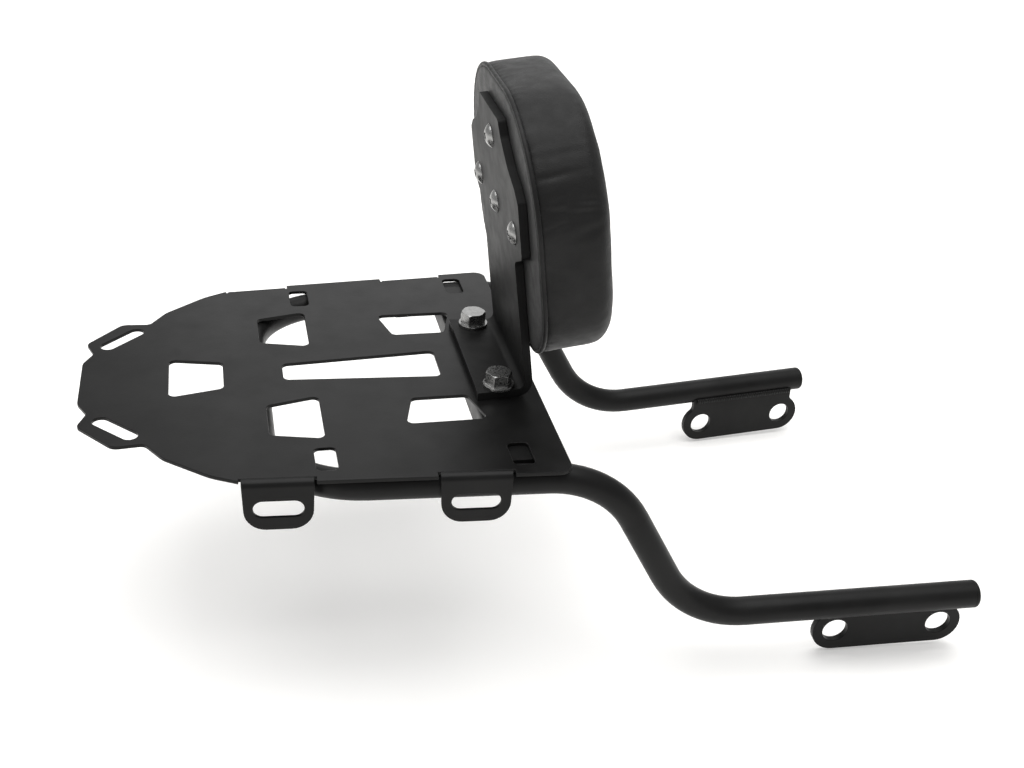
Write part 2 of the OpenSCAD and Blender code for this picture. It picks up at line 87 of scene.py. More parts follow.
class Shader:
    """A small helper that wires the nodes of one material."""

    def __init__(self, name: str) -> None:
        """Starts a material with a bare principled shader.

        Args:
            name: The material's name.
        """
        self.material = bpy.data.materials.new(name)
        self.material.use_nodes = True
        self.tree = self.material.node_tree
        self.surface = self.tree.nodes["Principled BSDF"]
        self.place = self.tree.nodes.new("ShaderNodeTexCoord").outputs["Object"]

    def set(self, **values: object) -> None:
        """Sets constant sockets of the principled shader.

        Args:
            **values: Socket names, with underscores for spaces, and their values.
        """
        for key, value in values.items():
            self.surface.inputs[key.replace("_", " ")].default_value = value

    def feed(self, **outputs: Socket) -> None:
        """Links outputs to sockets of the principled shader.

        Args:
            **outputs: Socket names, with underscores for spaces, and what feeds them.
        """
        for key, output in outputs.items():
            self.tree.links.new(output, self.surface.inputs[key.replace("_", " ")])

    def node(self, kind: str, inputs: dict[str, object], **fields: object) -> bpy.types.Node:
        """Adds a node.

        Args:
            kind: The node's type without its ShaderNode prefix.
            inputs: Sockets by name, each with a constant or an output to link to it.
            **fields: Attributes to set on the node.

        Returns:
            The new node.
        """
        made = self.tree.nodes.new("ShaderNode" + kind)
        for key, value in fields.items():
            setattr(made, key, value)
        for key, value in inputs.items():
            if isinstance(value, Socket):
                self.tree.links.new(value, made.inputs[key])
            else:
                made.inputs[key].default_value = value
        return made

    def noise(self, scale: float, detail: float, rough: float = 0.55, place: Socket | None = None) -> Socket:
        """Adds fractal noise over the object's own coordinates.

        Args:
            scale: Cells per metre.
            detail: Octaves of the noise.
            rough: Weight of the finer octaves.
            place: A vector output to read instead of the object's coordinates.

        Returns:
            The noise's factor output.
        """
        inputs = {"Scale": scale, "Detail": detail, "Roughness": rough, "Vector": place or self.place}
        return self.node("TexNoise", inputs).outputs["Fac"]

    def cells(self, scale: float) -> Socket:
        """Adds a pattern of cells over the object's own coordinates.

        Args:
            scale: Cells per metre.

        Returns:
            The distance to the nearest edge between cells.
        """
        inputs = {"Scale": scale, "Vector": self.place}
        return self.node("TexVoronoi", inputs, feature="DISTANCE_TO_EDGE").outputs["Distance"]

    def waves(self, scale: float) -> Socket:
        """Adds slightly uneven bands along the object's x axis.

        Args:
            scale: Bands per 0.314 m.

        Returns:
            The pattern's factor output.
        """
        inputs = {"Scale": scale, "Distortion": 1.5, "Vector": self.place}
        return self.node("TexWave", inputs, bands_direction="X").outputs["Fac"]

    def stretched(self, scale: Triple, turn: Triple = (0.0, 0.0, 0.0)) -> Socket:
        """The object's own coordinates, turned and scaled.

        Args:
            scale: Factors along the three axes; a small one draws a pattern out.
            turn: Angles about the three axes in radians.

        Returns:
            The new coordinates.
        """
        inputs = {"Scale": scale, "Rotation": turn, "Vector": self.place}
        return self.node("Mapping", inputs).outputs["Vector"]

    def remap(self, value: Socket, band: Span, to: Span = (0.0, 1.0)) -> Socket:
        """Maps a band of a value onto a new one, clamped at both ends.

        Args:
            value: The output to map.
            band: The lowest and the highest value that count.
            to: What they become.

        Returns:
            The mapped output.
        """
        inputs = {"Value": value, "From Min": band[0], "From Max": band[1], "To Min": to[0], "To Max": to[1]}
        return self.node("MapRange", inputs).outputs["Result"]

    def mix(self, factor: Socket, dark: Triple, light: Triple) -> Socket:
        """Blends two colours.

        Args:
            factor: The output that goes from the first colour, at 0, to the second.
            dark: The first colour.
            light: The second colour.

        Returns:
            The blended colour.
        """
        inputs = {"Factor": factor, "A": (*dark, 1.0), "B": (*light, 1.0)}
        return self.node("Mix", inputs, data_type="RGBA").outputs["Result"]

    def bump(self, height: Socket, strength: float, distance: float, under: Socket | None = None) -> Socket:
        """Adds a bump layer.

        Args:
            height: The output read as height.
            strength: Strength of the bump.
            distance: Height in metres of a full step.
            under: The normal output of the layer below, if there is one.

        Returns:
            The bent normal.
        """
        inputs = {"Height": height, "Strength": strength, "Distance": distance}
        if under is not None:
            inputs["Normal"] = under
        return self.node("Bump", inputs).outputs["Normal"]


def grey(value: float) -> Triple:
    """A neutral colour with a barely warm cast."""
    return (value, value * 0.99, value * 0.97)


def shaded(colour: Triple, share: float) -> Triple:
    """A colour made darker, down to a share of its light."""
    return tuple(part * share for part in colour)


@dataclass(frozen=True)
class PowderCoat:
    """Satin black powder coat: a fine orange peel with slow changes of tone and gloss."""

    name: str
    dark: float = 0.005
    light: float = 0.009
    specular: float = 0.15
    roughness: Span = (0.34, 0.46)
    tone_scale: float = 26.0
    gloss_scale: float = 70.0
    peel_scale: float = 620.0
    peel_depth: float = 0.04 * MM
    ripple_scale: float = 0.0
    ripple_depth: float = 0.5 * MM

    def build(self) -> bpy.types.Material:
        """Makes the material, with the ripples of a weld bead where ripple_scale isn't 0.

        Returns:
            The material.
        """
        s = Shader(self.name)
        s.set(Metallic=0.0, Specular_IOR_Level=self.specular, IOR=1.5)
        tone = s.remap(s.noise(self.tone_scale, detail=5.0), MIDDLE_BAND)
        gloss = s.remap(s.noise(self.gloss_scale, detail=4.0, rough=0.6), WIDE_BAND, self.roughness)
        skin = s.bump(s.noise(self.peel_scale, detail=2.0, rough=0.4), 0.35, self.peel_depth)
        if self.ripple_scale > 0:
            skin = s.bump(s.waves(self.ripple_scale), 0.8, self.ripple_depth, skin)
        s.feed(Base_Color=s.mix(tone, grey(self.dark), grey(self.light)), Roughness=gloss, Normal=skin)
        return s.material


@dataclass(frozen=True)
class Vinyl:
    """Grained black upholstery vinyl: small pebbles under a soft sheen, over shallow folds."""

    name: str
    dark: float = 0.005
    light: float = 0.010
    specular: float = 0.2
    roughness: Span = (0.44, 0.58)
    sheen: float = 0.05
    tone_scale: float = 38.0
    gloss_scale: float = 140.0
    pebble_scale: float = 950.0
    pebble_rim: float = 0.35
    pebble_depth: float = 0.10 * MM
    fold_scale: float = 150.0
    fold_stretch: Triple = (0.3, 0.5, 1.0)
    fold_turn: Triple = (0.0, 0.5, 0.0)
    fold_depth: float = 0.4 * MM

    def build(self) -> bpy.types.Material:
        """Makes the material.

        Returns:
            The material.
        """
        s = Shader(self.name)
        s.set(Metallic=0.0, Specular_IOR_Level=self.specular, Sheen_Weight=self.sheen, Sheen_Roughness=0.5)
        tone = s.remap(s.noise(self.tone_scale, detail=4.0), MIDDLE_BAND)
        gloss = s.remap(s.noise(self.gloss_scale, detail=3.0), WIDE_BAND, self.roughness)
        place = s.stretched(self.fold_stretch, self.fold_turn)
        folds = s.bump(s.noise(self.fold_scale, detail=3.0, rough=0.5, place=place), 0.35, self.fold_depth)
        pebbles = s.remap(s.cells(self.pebble_scale), (0.0, self.pebble_rim))
        skin = s.bump(pebbles, 0.5, self.pebble_depth, folds)
        s.feed(Base_Color=s.mix(tone, grey(self.dark), grey(self.light)), Roughness=gloss, Normal=skin)
        return s.material


@dataclass(frozen=True)
class ZincSteel:
    """Bright zinc plating: slightly mottled, with a fine tooth."""

    name: str
    colour: Triple = (0.36, 0.36, 0.355)
    dulled: float = 0.82
    roughness: Span = (0.20, 0.38)
    mottle_scale: float = 420.0
    gloss_scale: float = 900.0
    tooth_scale: float = 2600.0
    tooth_depth: float = 0.03 * MM

    def build(self) -> bpy.types.Material:
        """Makes the material.

        Returns:
            The material.
        """
        s = Shader(self.name)
        s.set(Metallic=1.0)
        mottle = s.remap(s.noise(self.mottle_scale, detail=4.0), MIDDLE_BAND)
        gloss = s.remap(s.noise(self.gloss_scale, detail=3.0), WIDE_BAND, self.roughness)
        tooth = s.bump(s.noise(self.tooth_scale, detail=2.0), 0.2, self.tooth_depth)
        plating = s.mix(mottle, shaded(self.colour, self.dulled), self.colour)
        s.feed(Base_Color=plating, Roughness=gloss, Normal=tooth)
        return s.material


@dataclass(frozen=True)
class Ply:
    """Birch ply with faint long grain."""

    name: str
    colour: Triple = (0.50, 0.36, 0.22)
    late_wood: float = 0.7
    grain_scale: float = 900.0
    grain_stretch: Triple = (1.0, 0.08, 1.0)
    grain_depth: float = 0.2 * MM

    def build(self) -> bpy.types.Material:
        """Makes the material.

        Returns:
            The material.
        """
        s = Shader(self.name)
        s.set(Metallic=0.0, Roughness=0.7)
        grain = s.noise(self.grain_scale, detail=5.0, rough=0.6, place=s.stretched(self.grain_stretch))
        wood = s.mix(grain, shaded(self.colour, self.late_wood), self.colour)
        s.feed(Base_Color=wood, Normal=s.bump(grain, 0.3, self.grain_depth))
        return s.material


@dataclass(frozen=True)
class Paper:
    """White studio paper that glows a little, so that the shadow on it stays pale."""

    name: str = "studio_paper"
    dark: float = 0.90
    light: float = 0.93
    glow: float = 0.22
    tone_scale: float = 3.0

    def build(self) -> bpy.types.Material:
        """Makes the material.

        Returns:
            The material.
        """
        s = Shader(self.name)
        s.set(Roughness=0.9, Specular_IOR_Level=0.2, Emission_Color=(1.0, 1.0, 1.0, 1.0))
        s.set(Emission_Strength=self.glow)
        s.feed(Base_Color=s.mix(s.noise(self.tone_scale, detail=2.0), grey(self.dark), grey(self.light)))
        return s.material


# Meshes.


def make_object(name: str, points: Array, faces: list | Array, smooth: bool = True) -> bpy.types.Object:
    """Puts points and faces into a new object at the origin.

    Args:
        name: The object's name.
        points: An (n, 3) array in metres.
        faces: Rows of vertex numbers.
        smooth: Whether its faces are shaded smooth.

    Returns:
        The linked object.
    """
    mesh = bpy.data.meshes.new(name)
    mesh.from_pydata(points.tolist(), [], [tuple(map(int, face)) for face in faces])
    mesh.polygons.foreach_set("use_smooth", np.full(len(mesh.polygons), smooth))
    mesh.update()
    made = bpy.data.objects.new(name, mesh)
    bpy.context.scene.collection.objects.link(made)
    return made


def points_of(made: bpy.types.Object) -> Array:
    """Reads an object's points.

    Args:
        made: The object.

    Returns:
        Its mesh's points as an (n, 3) array.
    """
    flat = np.empty(len(made.data.vertices) * 3)
    made.data.vertices.foreach_get("co", flat)
    return flat.reshape(-1, 3)


def put_points(made: bpy.types.Object, points: Array) -> None:
    """Moves the mesh's points to the rows of an (n, 3) array."""
    made.data.vertices.foreach_set("co", points.ravel())
    made.data.update()


def grid_faces(rows: int, columns: int, closed: bool) -> Array:
    """Quads of a stack of closed rings, with points numbered ring by ring.

    The quad at (i, j) joins (i, j), (i, j + 1), (i + 1, j + 1) and (i + 1, j), where
    the last column is followed by the first, and so is the last row if it is closed.

    Args:
        rows: How many rings there are.
        columns: Points in each ring.
        closed: Whether the last ring is joined to the first.

    Returns:
        An (n, 4) array of vertex numbers.
    """
    i, j = np.meshgrid(np.arange(rows if closed else rows - 1), np.arange(columns), indexing="ij")
    down = (i + 1) % rows
    right = (j + 1) % columns
    corners = (i * columns + j, i * columns + right, down * columns + right, down * columns + j)
    return np.stack([corner.ravel() for corner in corners], axis=1)


def capped_faces(rows: int, columns: int) -> list[list[int]]:
    """Faces of an open stack of rings, with one face over each of its ends.

    Args:
        rows: How many rings there are.
        columns: Points in each ring.

    Returns:
        The quads, the last ring's face and the first ring's face.
    """
    ring = np.arange(columns)
    last = (ring + (rows - 1) * columns).tolist()
    return [*grid_faces(rows, columns, closed=False).tolist(), last, ring[::-1].tolist()]


def tube_along(path: Array, side: Array, up: Array, radius: Array, around: int = 12) -> tuple[Array, Array]:
    """A closed ring-shaped tube: path + radius * (cos a * side + sin a * up).

    Args:
        path: The (n, 3) centre line, which closes on itself.
        side: The (n, 3) unit directions across it.
        up: The (n, 3) unit directions square to both.
        radius: The radius at each point of the path.
        around: Points round the section.

    Returns:
        The tube's points and quads.
    """
    angle = np.linspace(0, 2 * np.pi, around, endpoint=False)
    across = np.cos(angle)[None, :, None] * side[:, None, :]
    over = np.sin(angle)[None, :, None] * up[:, None, :]
    points = path[:, None, :] + radius[:, None, None] * (across + over)
    return points.reshape(-1, 3), grid_faces(len(path), around, closed=True)


def face_outwards(made: bpy.types.Object) -> None:
    """Merges doubles and turns all faces of a closed mesh outwards.

    Args:
        made: The object that holds the mesh.
    """
    work = bmesh.new()
    work.from_mesh(made.data)
    bmesh.ops.remove_doubles(work, verts=work.verts, dist=1e-6)
    bmesh.ops.recalc_face_normals(work, faces=work.faces)
    work.to_mesh(made.data)
    work.free()


def bake(made: bpy.types.Object) -> None:
    """Applies an object's modifiers to its mesh.

    Args:
        made: The object.
    """
    evaluated = made.evaluated_get(bpy.context.evaluated_depsgraph_get())
    mesh = bpy.data.meshes.new_from_object(evaluated)
    made.modifiers.clear()
    made.data = mesh
    mesh.polygons.foreach_set("use_smooth", np.ones(len(mesh.polygons), bool))


# Metal.


class Edge(Enum):
    """How a node's edges are finished: the width in metres that is eased off them."""

    EASED = 0.35 * MM
    FINE = 0.2 * MM
    SHARP = 0.0


@dataclass
class Metalwork:
    """The CAD metal and board: each node keeps its shape and gets its edges and finish.

    Attributes:
        merge: Points closer than this are joined.
        flat_angle: Faces that turn by less are joined into one.
        ease_angle: Edges that turn by more are rounded.
        split_angle: Edges that turn by more are shaded sharp, where none are rounded.
    """

    merge: float = 0.005 * MM
    flat_angle: float = math.radians(1.0)
    ease_angle: float = math.radians(40)
    split_angle: float = math.radians(35)

    def dress(self) -> list[bpy.types.Object]:
        """Gives every rigid node its material and its edges.

        Returns:
            The dressed nodes.
        """
        coat = PowderCoat("powder_coat_tube").build()
        sheet = PowderCoat("powder_coat_sheet", roughness=(0.28, 0.38)).build()
        satin = PowderCoat("powder_coat_bracket", roughness=(0.46, 0.56)).build()
        bead = PowderCoat("powder_coat_weld", ripple_scale=165.0).build()
        zinc = ZincSteel("zinc_plate").build()
        ply = Ply("birch_ply").build()
        groups = (
            (coat, Edge.EASED, ["tube_end_plugs", "left_mount_plate", "right_mount_plate", "cross_brace"]),
            (sheet, Edge.EASED, ["rack_plate", "left_tabs", "right_tabs"]),
            (satin, Edge.EASED, ["backrest_bracket"]),
            (zinc, Edge.FINE, ["foot_bolts", "foot_washers", "foot_nuts", "pad_screws", "tee_nuts"]),
            (coat, Edge.SHARP, ["frame_tube"]),
            (bead, Edge.SHARP, ["plate_welds", "mount_welds", "brace_welds"]),
            (ply, Edge.SHARP, ["pad_board"]),
        )
        return [self.finish(name, material, edge) for material, edge, names in groups for name in names]

    def finish(self, name: str, material: bpy.types.Material, edge: Edge) -> bpy.types.Object:
        """Dresses one CAD node.

        Args:
            name: The node's name.
            material: Its finish.
            edge: How its edges are finished.

        Returns:
            The node.
        """
        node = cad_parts[name]
        node.data.materials.clear()
        node.data.materials.append(material)
        node.modifiers.new("weld", "WELD").merge_threshold = self.merge
        if edge is Edge.SHARP:
            node.modifiers.new("sharp", "EDGE_SPLIT").split_angle = self.split_angle
        else:
            self.ease(node, edge.value)
        node.data.polygons.foreach_set("use_smooth", np.ones(len(node.data.polygons), bool))
        return node

    def ease(self, node: bpy.types.Object, width: float) -> None:
        """Joins a node's flat faces, rounds its edges and evens its shading.

        Args:
            node: The CAD node.
            width: Width of the rounded edges in metres.
        """
        flat = node.modifiers.new("planar", "DECIMATE")
        flat.decimate_type = "DISSOLVE"
        flat.angle_limit = self.flat_angle
        bevel = node.modifiers.new("edges", "BEVEL")
        bevel.width = width
        bevel.segments = 2
        bevel.limit_method = "ANGLE"
        bevel.angle_limit = self.ease_angle
        evened = node.modifiers.new("normals", "WEIGHTED_NORMAL")
        evened.mode = "FACE_AREA"
        evened.weight = 100


# Pad.


@dataclass
class PadPlane:
    """The upright's plane: a to the left, b up it and n forward from its rear face.

    Attributes:
        lean: How far the upright leans back.
        half_width: Half of the pad's width.
        half_height: Half of its height.
        top_corner: Radius of its upper corners.
        low_corner: Radius of its lower corners.
        panel_middle: Place n of the middle of the CAD back cover.
        corner_steps: Points sampled round each corner.
        marks: Places along the outline that nearest() compares.
        blocks: How many parts nearest() works in, to save memory.
    """

    lean: float = math.radians(7.3)
    half_width: float = 82.0 * MM
    half_height: float = 69.0 * MM
    top_corner: float = 64.0 * MM
    low_corner: float = 46.0 * MM
    panel_middle: float = 5.3 * MM
    corner_steps: int = 91
    marks: int = 720
    blocks: int = 24

    def __post_init__(self) -> None:
        """Finds the plane's origin from the CAD back cover's box, and samples the pad's outline."""
        low, high = (np.array(corner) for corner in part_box("pad_back_cover"))
        self.up = np.array([-math.sin(self.lean), 0.0, math.cos(self.lean)])
        self.ahead = np.array([math.cos(self.lean), 0.0, math.sin(self.lean)])
        self.left = np.array([0.0, 1.0, 0.0])
        self.origin = (low + high) / 2 - self.ahead * self.panel_middle
        top = (self.half_width - self.top_corner, self.half_height - self.top_corner, self.top_corner)
        bottom = (self.half_width - self.low_corner, self.low_corner - self.half_height, self.low_corner)
        corners = [(top, 1, 0), (top, -1, 90), (bottom, -1, 180), (bottom, 1, 270)]
        arcs = [self.arc(middle, side, start) for middle, side, start in corners]
        self.table = np.vstack([*arcs, arcs[0][:1]])
        steps = np.hypot(*np.diff(self.table[:, :2], axis=0).T)
        length = np.concatenate([[0.0], np.cumsum(steps)])
        self.girth = length[-1]
        self.share = length / self.girth

    def arc(self, middle: Triple, side: int, start: float) -> Array:
        """One round corner: (side * x, y) + radius * (cos t, sin t) over 90 degrees.

        Args:
            middle: The centre's x and y and the corner's radius.
            side: 1 on the left side of the pad and -1 on its right.
            start: The angle that the corner starts at, in degrees.

        Returns:
            Rows of the corner's points and their outward directions.
        """
        x, y, radius = middle
        turn = np.radians(np.linspace(start, start + 90, self.corner_steps))
        way = np.stack([np.cos(turn), np.sin(turn)], axis=1)
        return np.hstack([np.array([side * x, y]) + radius * way, way])

    def place(self, a: Array, b: Array, n: Array | float) -> Array:
        """Turns plane coordinates into points: origin + a * left + b * up + n * ahead."""
        a, b, n = np.broadcast_arrays(a, b, n)
        return self.origin + a[..., None] * self.left + b[..., None] * self.up + n[..., None] * self.ahead

    def measure(self, points: Array) -> tuple[Array, Array, Array]:
        """The plane coordinates a, b and n of points."""
        away = points - self.origin
        return away @ self.left, away @ self.up, away @ self.ahead

    def outline(self, share: Array, inset: Array | float = 0.0) -> tuple[Array, Array]:
        """The pad's outline, a rectangle with two sizes of round corner, drawn in by inset.

        Args:
            share: Places along it from 0 to 1, from the left side over the top.
            inset: How far the outline is drawn in along its normals, in metres.

        Returns:
            The a and b coordinates.
        """
        a, b, out_a, out_b = (np.interp(share, self.share, self.table[:, k]) for k in range(4))
        return a - inset * out_a, b - inset * out_b

    def nearest(self, a: Array, b: Array) -> Array:
        """The share along the outline that lies nearest to each place.

        Args:
            a: How far left the places are.
            b: How far up they are.

        Returns:
            A share from 0 to 1 for each place.
        """
        marks = np.linspace(0.0, 1.0, self.marks, endpoint=False)
        x, y = self.outline(marks)
        found = [
            np.argmin((left[:, None] - x) ** 2 + (up[:, None] - y) ** 2, axis=1)
            for left, up in zip(np.array_split(a, self.blocks), np.array_split(b, self.blocks))
        ]
        return marks[np.concatenate(found)]


@dataclass
class Wrinkles:
    """Soft creases in the cushion's upper corners, and faint puckers along its seam.

    Attributes:
        spots: Middles of the two groups of creases, as shares of the pad's outline.
        spread: How far a group reaches along the outline, as a share of it.
        count: Creases in each group.
        reach: The part of the wall's depth that their middles lie in.
        tilt: Their usual slant in radians, and how much it varies.
        length: The shortest and the longest crease.
        width: The narrowest and the widest.
        depth: The shallowest and the deepest.
        pucker_depth: Height of a pucker.
        pucker_pitch: Distance from one pucker to the next.
        pucker_reach: How far they run forward from the seam.
        seed: Start of the random numbers.
    """

    spots: Span = (0.055, 0.41)
    spread: float = 0.026
    count: int = 12
    reach: Span = (0.2, 0.8)
    tilt: Span = (0.1, 0.22)
    length: Span = (7 * MM, 15 * MM)
    width: Span = (1.5 * MM, 2.8 * MM)
    depth: Span = (0.3 * MM, 0.8 * MM)
    pucker_depth: float = 0.05 * MM
    pucker_pitch: float = 5.2 * MM
    pucker_reach: float = 4 * MM
    seed: int = 11

    def valleys(self, share: Array, n: Array, girth: float, back: float, front: float) -> Array:
        """How deep the creases are at each point.

        Each crease is a valley d exp(-(u / l)^2 - (v / w)^2), with u along it and v
        across it on the unrolled side wall.

        Args:
            share: The points' places along the pad's outline, from 0 to 1.
            n: Their places forward from the upright's rear face, in metres.
            girth: The outline's length.
            back: Where the cushion's wall starts.
            front: Where it ends.

        Returns:
            Depths in metres.
        """
        rng = np.random.default_rng(self.seed)
        total = np.zeros(len(share))
        for spot in np.repeat(self.spots, self.count):
            middle = spot + rng.normal(0, self.spread)
            ahead = back + rng.uniform(*self.reach) * (front - back)
            tilt = rng.normal(*self.tilt)
            length, width, depth = (rng.uniform(*span) for span in (self.length, self.width, self.depth))
            ds = ((share - middle + 0.5) % 1.0 - 0.5) * girth
            dn = n - ahead
            u = math.cos(tilt) * dn + math.sin(tilt) * ds
            v = math.cos(tilt) * ds - math.sin(tilt) * dn
            total += depth * np.exp(-((u / length) ** 2) - (v / width) ** 2)
        return total

    def puckers(self, along: Array, away: Array) -> Array:
        """How high the puckers are: d cos(2 pi s / pitch) exp(-(r / reach)^2).

        Args:
            along: The points' places along the seam, in metres.
            away: Their distances forward from it.

        Returns:
            Heights in metres.
        """
        wave = self.pucker_depth * np.cos(2 * np.pi * along / self.pucker_pitch)
        return wave * np.exp(-((away / self.pucker_reach) ** 2))


@dataclass
class Pad:
    """The upholstered pad. Its places n are forward from the upright's rear face.

    Attributes:
        plane: The upright's plane and the pad's outline in it.
        wrinkles: The creases and puckers.
        around: Points in each ring of the cushion and of the back panel.
        back: Where the cushion's wall starts, behind the piping.
        front: Where its front face starts.
        edge: Radius of its front edge.
        crown: How far the front face bulges in its middle.
        slack: How far the wall lies inside the outline.
        tuck: How far its first ring is tucked in.
        wall_rings: Rings along the wall, and along the front edge.
        front_rings: Rings over the front face.
        front_scale: The size of the first and the last of them against the rim.
        voxel: Size of the remeshed faces.
        frames: Length of the cloth run.
        pressure: Air pressure inside the cloth.
        seam_band: How much of the wall is sewn fast.
        travel: The most that the cloth run may move a point.
        crease_start: How far from the wall's back the creases begin.
        crease_end: How far from its front they end.
        fade_behind: How fast they deepen from the back.
        fade_ahead: How fast they fade towards the front.
        piping_n: Place of the piping's centre line.
        piping_r: Its radius.
        piping_steps: Points along it.
        piping_lap: How far it stands out past the outline.
        piping_ripple: How much its radius ripples.
        ripple_steps: Points in one ripple.
        seam_n: Where the puckers are highest.
        panel_inset: How far each ring of the back panel is drawn in, in millimetres.
        panel_n: Where each of them lies, in millimetres.
        fill: Not used; how tightly the pad would be stuffed, from 0 to 1.
    """

    plane: PadPlane
    wrinkles: Wrinkles
    around: int = 240
    back: float = 5.2 * MM
    front: float = 44.2 * MM
    edge: float = 10.0 * MM
    crown: float = 1.6 * MM
    slack: float = 0.2 * MM
    tuck: float = 1.6 * MM
    wall_rings: int = 9
    front_rings: int = 12
    front_scale: Span = (0.92, 0.08)
    voxel: float = 2.6 * MM
    frames: int = 20
    pressure: float = 2.5
    seam_band: float = 2.0 * MM
    travel: float = 0.6 * MM
    crease_start: float = 1 * MM
    crease_end: float = 2 * MM
    fade_behind: float = 3 * MM
    fade_ahead: float = 8 * MM
    piping_n: float = 6.2 * MM
    piping_r: float = 1.3 * MM
    piping_steps: int = 420
    piping_lap: float = 0.1 * MM
    piping_ripple: float = 0.03
    ripple_steps: int = 5
    seam_n: float = 8.7 * MM
    panel_inset: tuple[float, ...] = (2.4, 1.9, 2.0, 2.8, 5.0, 20.0)
    panel_n: tuple[float, ...] = (7.4, 6.4, 5.5, 5.0, 4.85, 4.85)
    fill: float = 0.9

    def closed_form(self, name: str, rings: Array) -> bpy.types.Object:
        """Joins rings of points into a closed mesh.

        Args:
            name: The object's name.
            rings: A (rows, around, 3) array of points.

        Returns:
            The object, with its faces turned outwards.
        """
        made = make_object(name, rings.reshape(-1, 3), capped_faces(*rings.shape[:2]))
        face_outwards(made)
        return made

    def cushion(self) -> bpy.types.Object:
        """Builds the cushion: a plain closed form that a short cloth run swells.

        Its wall is the outline drawn in by the slack, and tucked in behind the
        piping. Its front edge follows inset = slack + edge * (1 - cos t) and
        n = front - edge + edge * sin t for t from 0 to 90 degrees. Its front face is
        the edge's last ring scaled by k, at n = front + crown * (1 - k^2).

        Returns:
            The cushion.
        """
        share = np.linspace(0.0, 1.0, self.around, endpoint=False)
        shoulder = self.front - self.edge
        turn = np.radians(np.linspace(0, 90, self.wall_rings))[1:]
        wall_inset = np.full(self.wall_rings, self.slack)
        wall_inset[0] += self.tuck
        inset = np.concatenate([wall_inset, self.slack + self.edge * (1 - np.cos(turn))])
        wall_n = np.linspace(self.back, shoulder, self.wall_rings)
        n = np.concatenate([wall_n, shoulder + self.edge * np.sin(turn)])
        wall = self.plane.place(*self.plane.outline(share, inset[:, None]), n[:, None])
        rim_a, rim_b = self.plane.outline(share, self.slack + self.edge)
        k = np.linspace(*self.front_scale, self.front_rings)[:, None]
        face = self.plane.place(k * rim_a, k * rim_b, self.front + self.crown * (1 - k * k))
        made = self.closed_form("pad_cushion", np.concatenate([wall, face]))
        self.inflate(made)
        return made

    def inflate(self, made: bpy.types.Object) -> None:
        """Remeshes the cushion, swells it as cloth with its back edge sewn fast, and creases it.

        Args:
            made: The closed cushion.
        """
        remesh = made.modifiers.new("remesh", "REMESH")
        remesh.mode = "VOXEL"
        remesh.voxel_size = self.voxel
        bake(made)
        start = points_of(made)
        depth = self.plane.measure(start)[2]
        seam = made.vertex_groups.new(name="seam")
        seam.add(np.flatnonzero(depth < self.back + self.seam_band).tolist(), 1.0, "REPLACE")
        cloth = made.modifiers.new("cloth", "CLOTH")
        cloth.settings.quality = 6
        cloth.settings.mass = 0.3
        cloth.settings.use_pressure = True
        cloth.settings.uniform_pressure_force = self.pressure
        cloth.settings.bending_stiffness = 0.2
        cloth.settings.shrink_min = 0.0
        cloth.settings.vertex_group_mass = "seam"
        cloth.settings.effector_weights.gravity = 0.0
        cloth.collision_settings.use_collision = False
        for step in range(1, self.frames + 1):
            bpy.context.scene.frame_set(step)
        bake(made)
        bpy.context.scene.frame_set(1)
        move = points_of(made) - start
        far = np.linalg.norm(move, axis=1, keepdims=True)
        LOG.info("cloth moved %.1f mm at most, %.1f mm on average", far.max() / MM, far.mean() / MM)
        put_points(made, start + move * np.minimum(1.0, self.travel / np.maximum(far, 1e-9)))
        relax = made.modifiers.new("relax", "SMOOTH")
        relax.factor = 0.5
        relax.iterations = 5
        fine = made.modifiers.new("fine", "SUBSURF")
        fine.levels = fine.render_levels = 1
        bake(made)
        self.crease(made)

    def crease(self, made: bpy.types.Object) -> None:
        """Presses the wrinkles into the wall, fading out towards its front edge and its seam.

        Args:
            made: The inflated cushion.
        """
        points = points_of(made)
        a, b, n = self.plane.measure(points)
        share = self.plane.nearest(a, b)
        ahead = np.clip((self.front - self.crease_end - n) / self.fade_ahead, 0, 1)
        behind = np.clip((n - self.back - self.crease_start) / self.fade_behind, 0, 1)
        valleys = self.wrinkles.valleys(share, n, self.plane.girth, self.back, self.front)
        puckers = self.wrinkles.puckers(share * self.plane.girth, n - self.seam_n)
        normal = np.empty(len(points) * 3)
        made.data.vertex_normals.foreach_get("vector", normal)
        lift = puckers - valleys * ahead * behind
        put_points(made, points + lift[:, None] * normal.reshape(-1, 3))

    def piping(self) -> bpy.types.Object:
        """The corded piping: a tube round the pad's back edge, of radius r (1 + ripple cos(2 pi i / steps)).

        Returns:
            The piping.
        """
        share = np.linspace(0.0, 1.0, self.piping_steps, endpoint=False)
        path = self.plane.place(*self.plane.outline(share, self.piping_r - self.piping_lap), self.piping_n)
        along = np.roll(path, -1, axis=0) - np.roll(path, 1, axis=0)
        along /= np.linalg.norm(along, axis=1, keepdims=True)
        ahead = np.broadcast_to(self.plane.ahead, path.shape)
        ripple = np.cos(2 * np.pi * np.arange(self.piping_steps) / self.ripple_steps)
        radius = self.piping_r * (1 + self.piping_ripple * ripple)
        made = make_object("pad_piping", *tube_along(path, np.cross(along, ahead), ahead, radius))
        face_outwards(made)
        return made

    def back_panel(self) -> bpy.types.Object:
        """The flat vinyl panel behind the pad: rings of the outline, rounded over at its edge.

        Returns:
            The panel.
        """
        share = np.linspace(0.0, 1.0, self.around, endpoint=False)
        inset = np.array(self.panel_inset)[:, None] * MM
        n = np.array(self.panel_n)[:, None] * MM
        return self.closed_form("pad_back_panel", self.plane.place(*self.plane.outline(share, inset), n))

